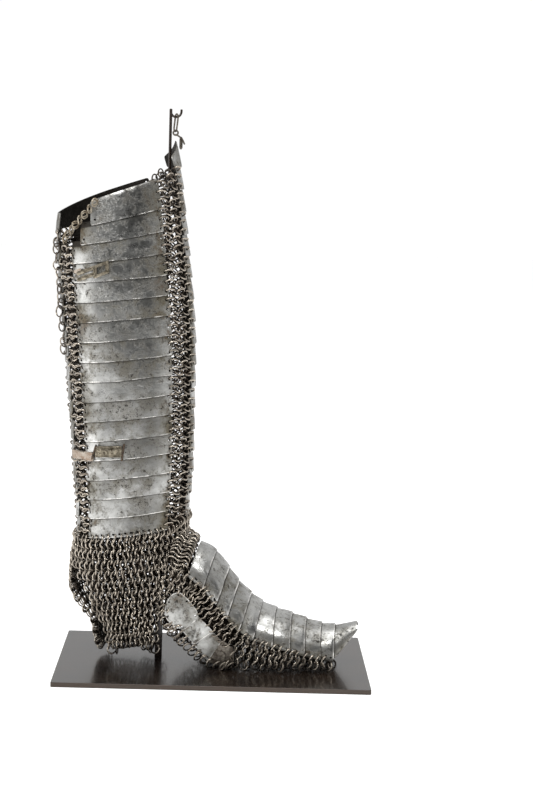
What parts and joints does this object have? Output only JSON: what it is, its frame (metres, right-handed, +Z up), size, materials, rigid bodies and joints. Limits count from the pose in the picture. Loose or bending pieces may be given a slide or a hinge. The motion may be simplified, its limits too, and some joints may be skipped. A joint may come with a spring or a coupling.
{
  "type": "greave on a stand",
  "caption": "Leg and foot armour of overlapping steel lames joined by iron mail, open at the rear, hung by a chain from the forked post of a flat display stand.",
  "frame": {"origin": "centre of the base plate's underside, where the stand rests", "axes": "+Z is up, +X points to the toe, -Y is the outer side of the leg"},
  "size_m": [0.3315, 0.2, 0.574],
  "materials": {
    "lame_steel": "worn polished steel plate with brown pitting and dull grey patches",
    "mail_iron": "dark brown iron wire with rubbed tan highlights",
    "buckle_steel": "dull yellowed steel with beaded edges",
    "stand_metal": "smooth glossy blackened metal with a brown tone"
  },
  "bodies": {
    "root": {"base_plate": "stand_metal", "post": "stand_metal", "outer_lame_01": "lame_steel", "outer_lame_02": "lame_steel", "outer_lame_03": "lame_steel", "outer_lame_04": "lame_steel", "outer_lame_05": "lame_steel", "outer_lame_06": "lame_steel", "outer_lame_07": "lame_steel", "outer_lame_08": "lame_steel", "outer_lame_09": "lame_steel", "outer_lame_10": "lame_steel", "outer_lame_11": "lame_steel", "outer_lame_12": "lame_steel", "outer_lame_13": "lame_steel", "outer_lame_14": "lame_steel", "outer_lame_15": "lame_steel", "outer_lame_16": "lame_steel", "outer_lame_17": "lame_steel", "shin_lame_01": "lame_steel", "shin_lame_02": "lame_steel", "shin_lame_03": "lame_steel", "shin_lame_04": "lame_steel", "shin_lame_05": "lame_steel", "shin_lame_06": "lame_steel", "shin_lame_07": "lame_steel", "shin_lame_08": "lame_steel", "shin_lame_09": "lame_steel", "shin_lame_10": "lame_steel", "shin_lame_11": "lame_steel", "shin_lame_12": "lame_steel", "shin_lame_13": "lame_steel", "shin_lame_14": "lame_steel", "shin_lame_15": "lame_steel", "shin_lame_16": "lame_steel", "shin_lame_17": "lame_steel", "foot_lame_01": "lame_steel", "foot_lame_02": "lame_steel", "foot_lame_03": "lame_steel", "foot_lame_04": "lame_steel", "foot_lame_05": "lame_steel", "foot_lame_06": "lame_steel", "foot_lame_07": "lame_steel", "foot_lame_08": "lame_steel", "foot_lame_09": "lame_steel", "foot_lame_10": "lame_steel", "foot_lame_11": "lame_steel", "inner_column": "lame_steel", "calf_column": "lame_steel", "foot_outer_lames": "lame_steel", "foot_inner_lames": "lame_steel", "mail_ankle": "mail_iron", "mail_calf": "mail_iron", "mail_shin_outer": "mail_iron", "mail_shin_inner": "mail_iron", "mail_foot_outer": "mail_iron", "mail_foot_inner": "mail_iron", "knee_chain": "mail_iron", "upper_buckle": "buckle_steel", "lower_buckle": "buckle_steel"}
  },
  "joints": []
}
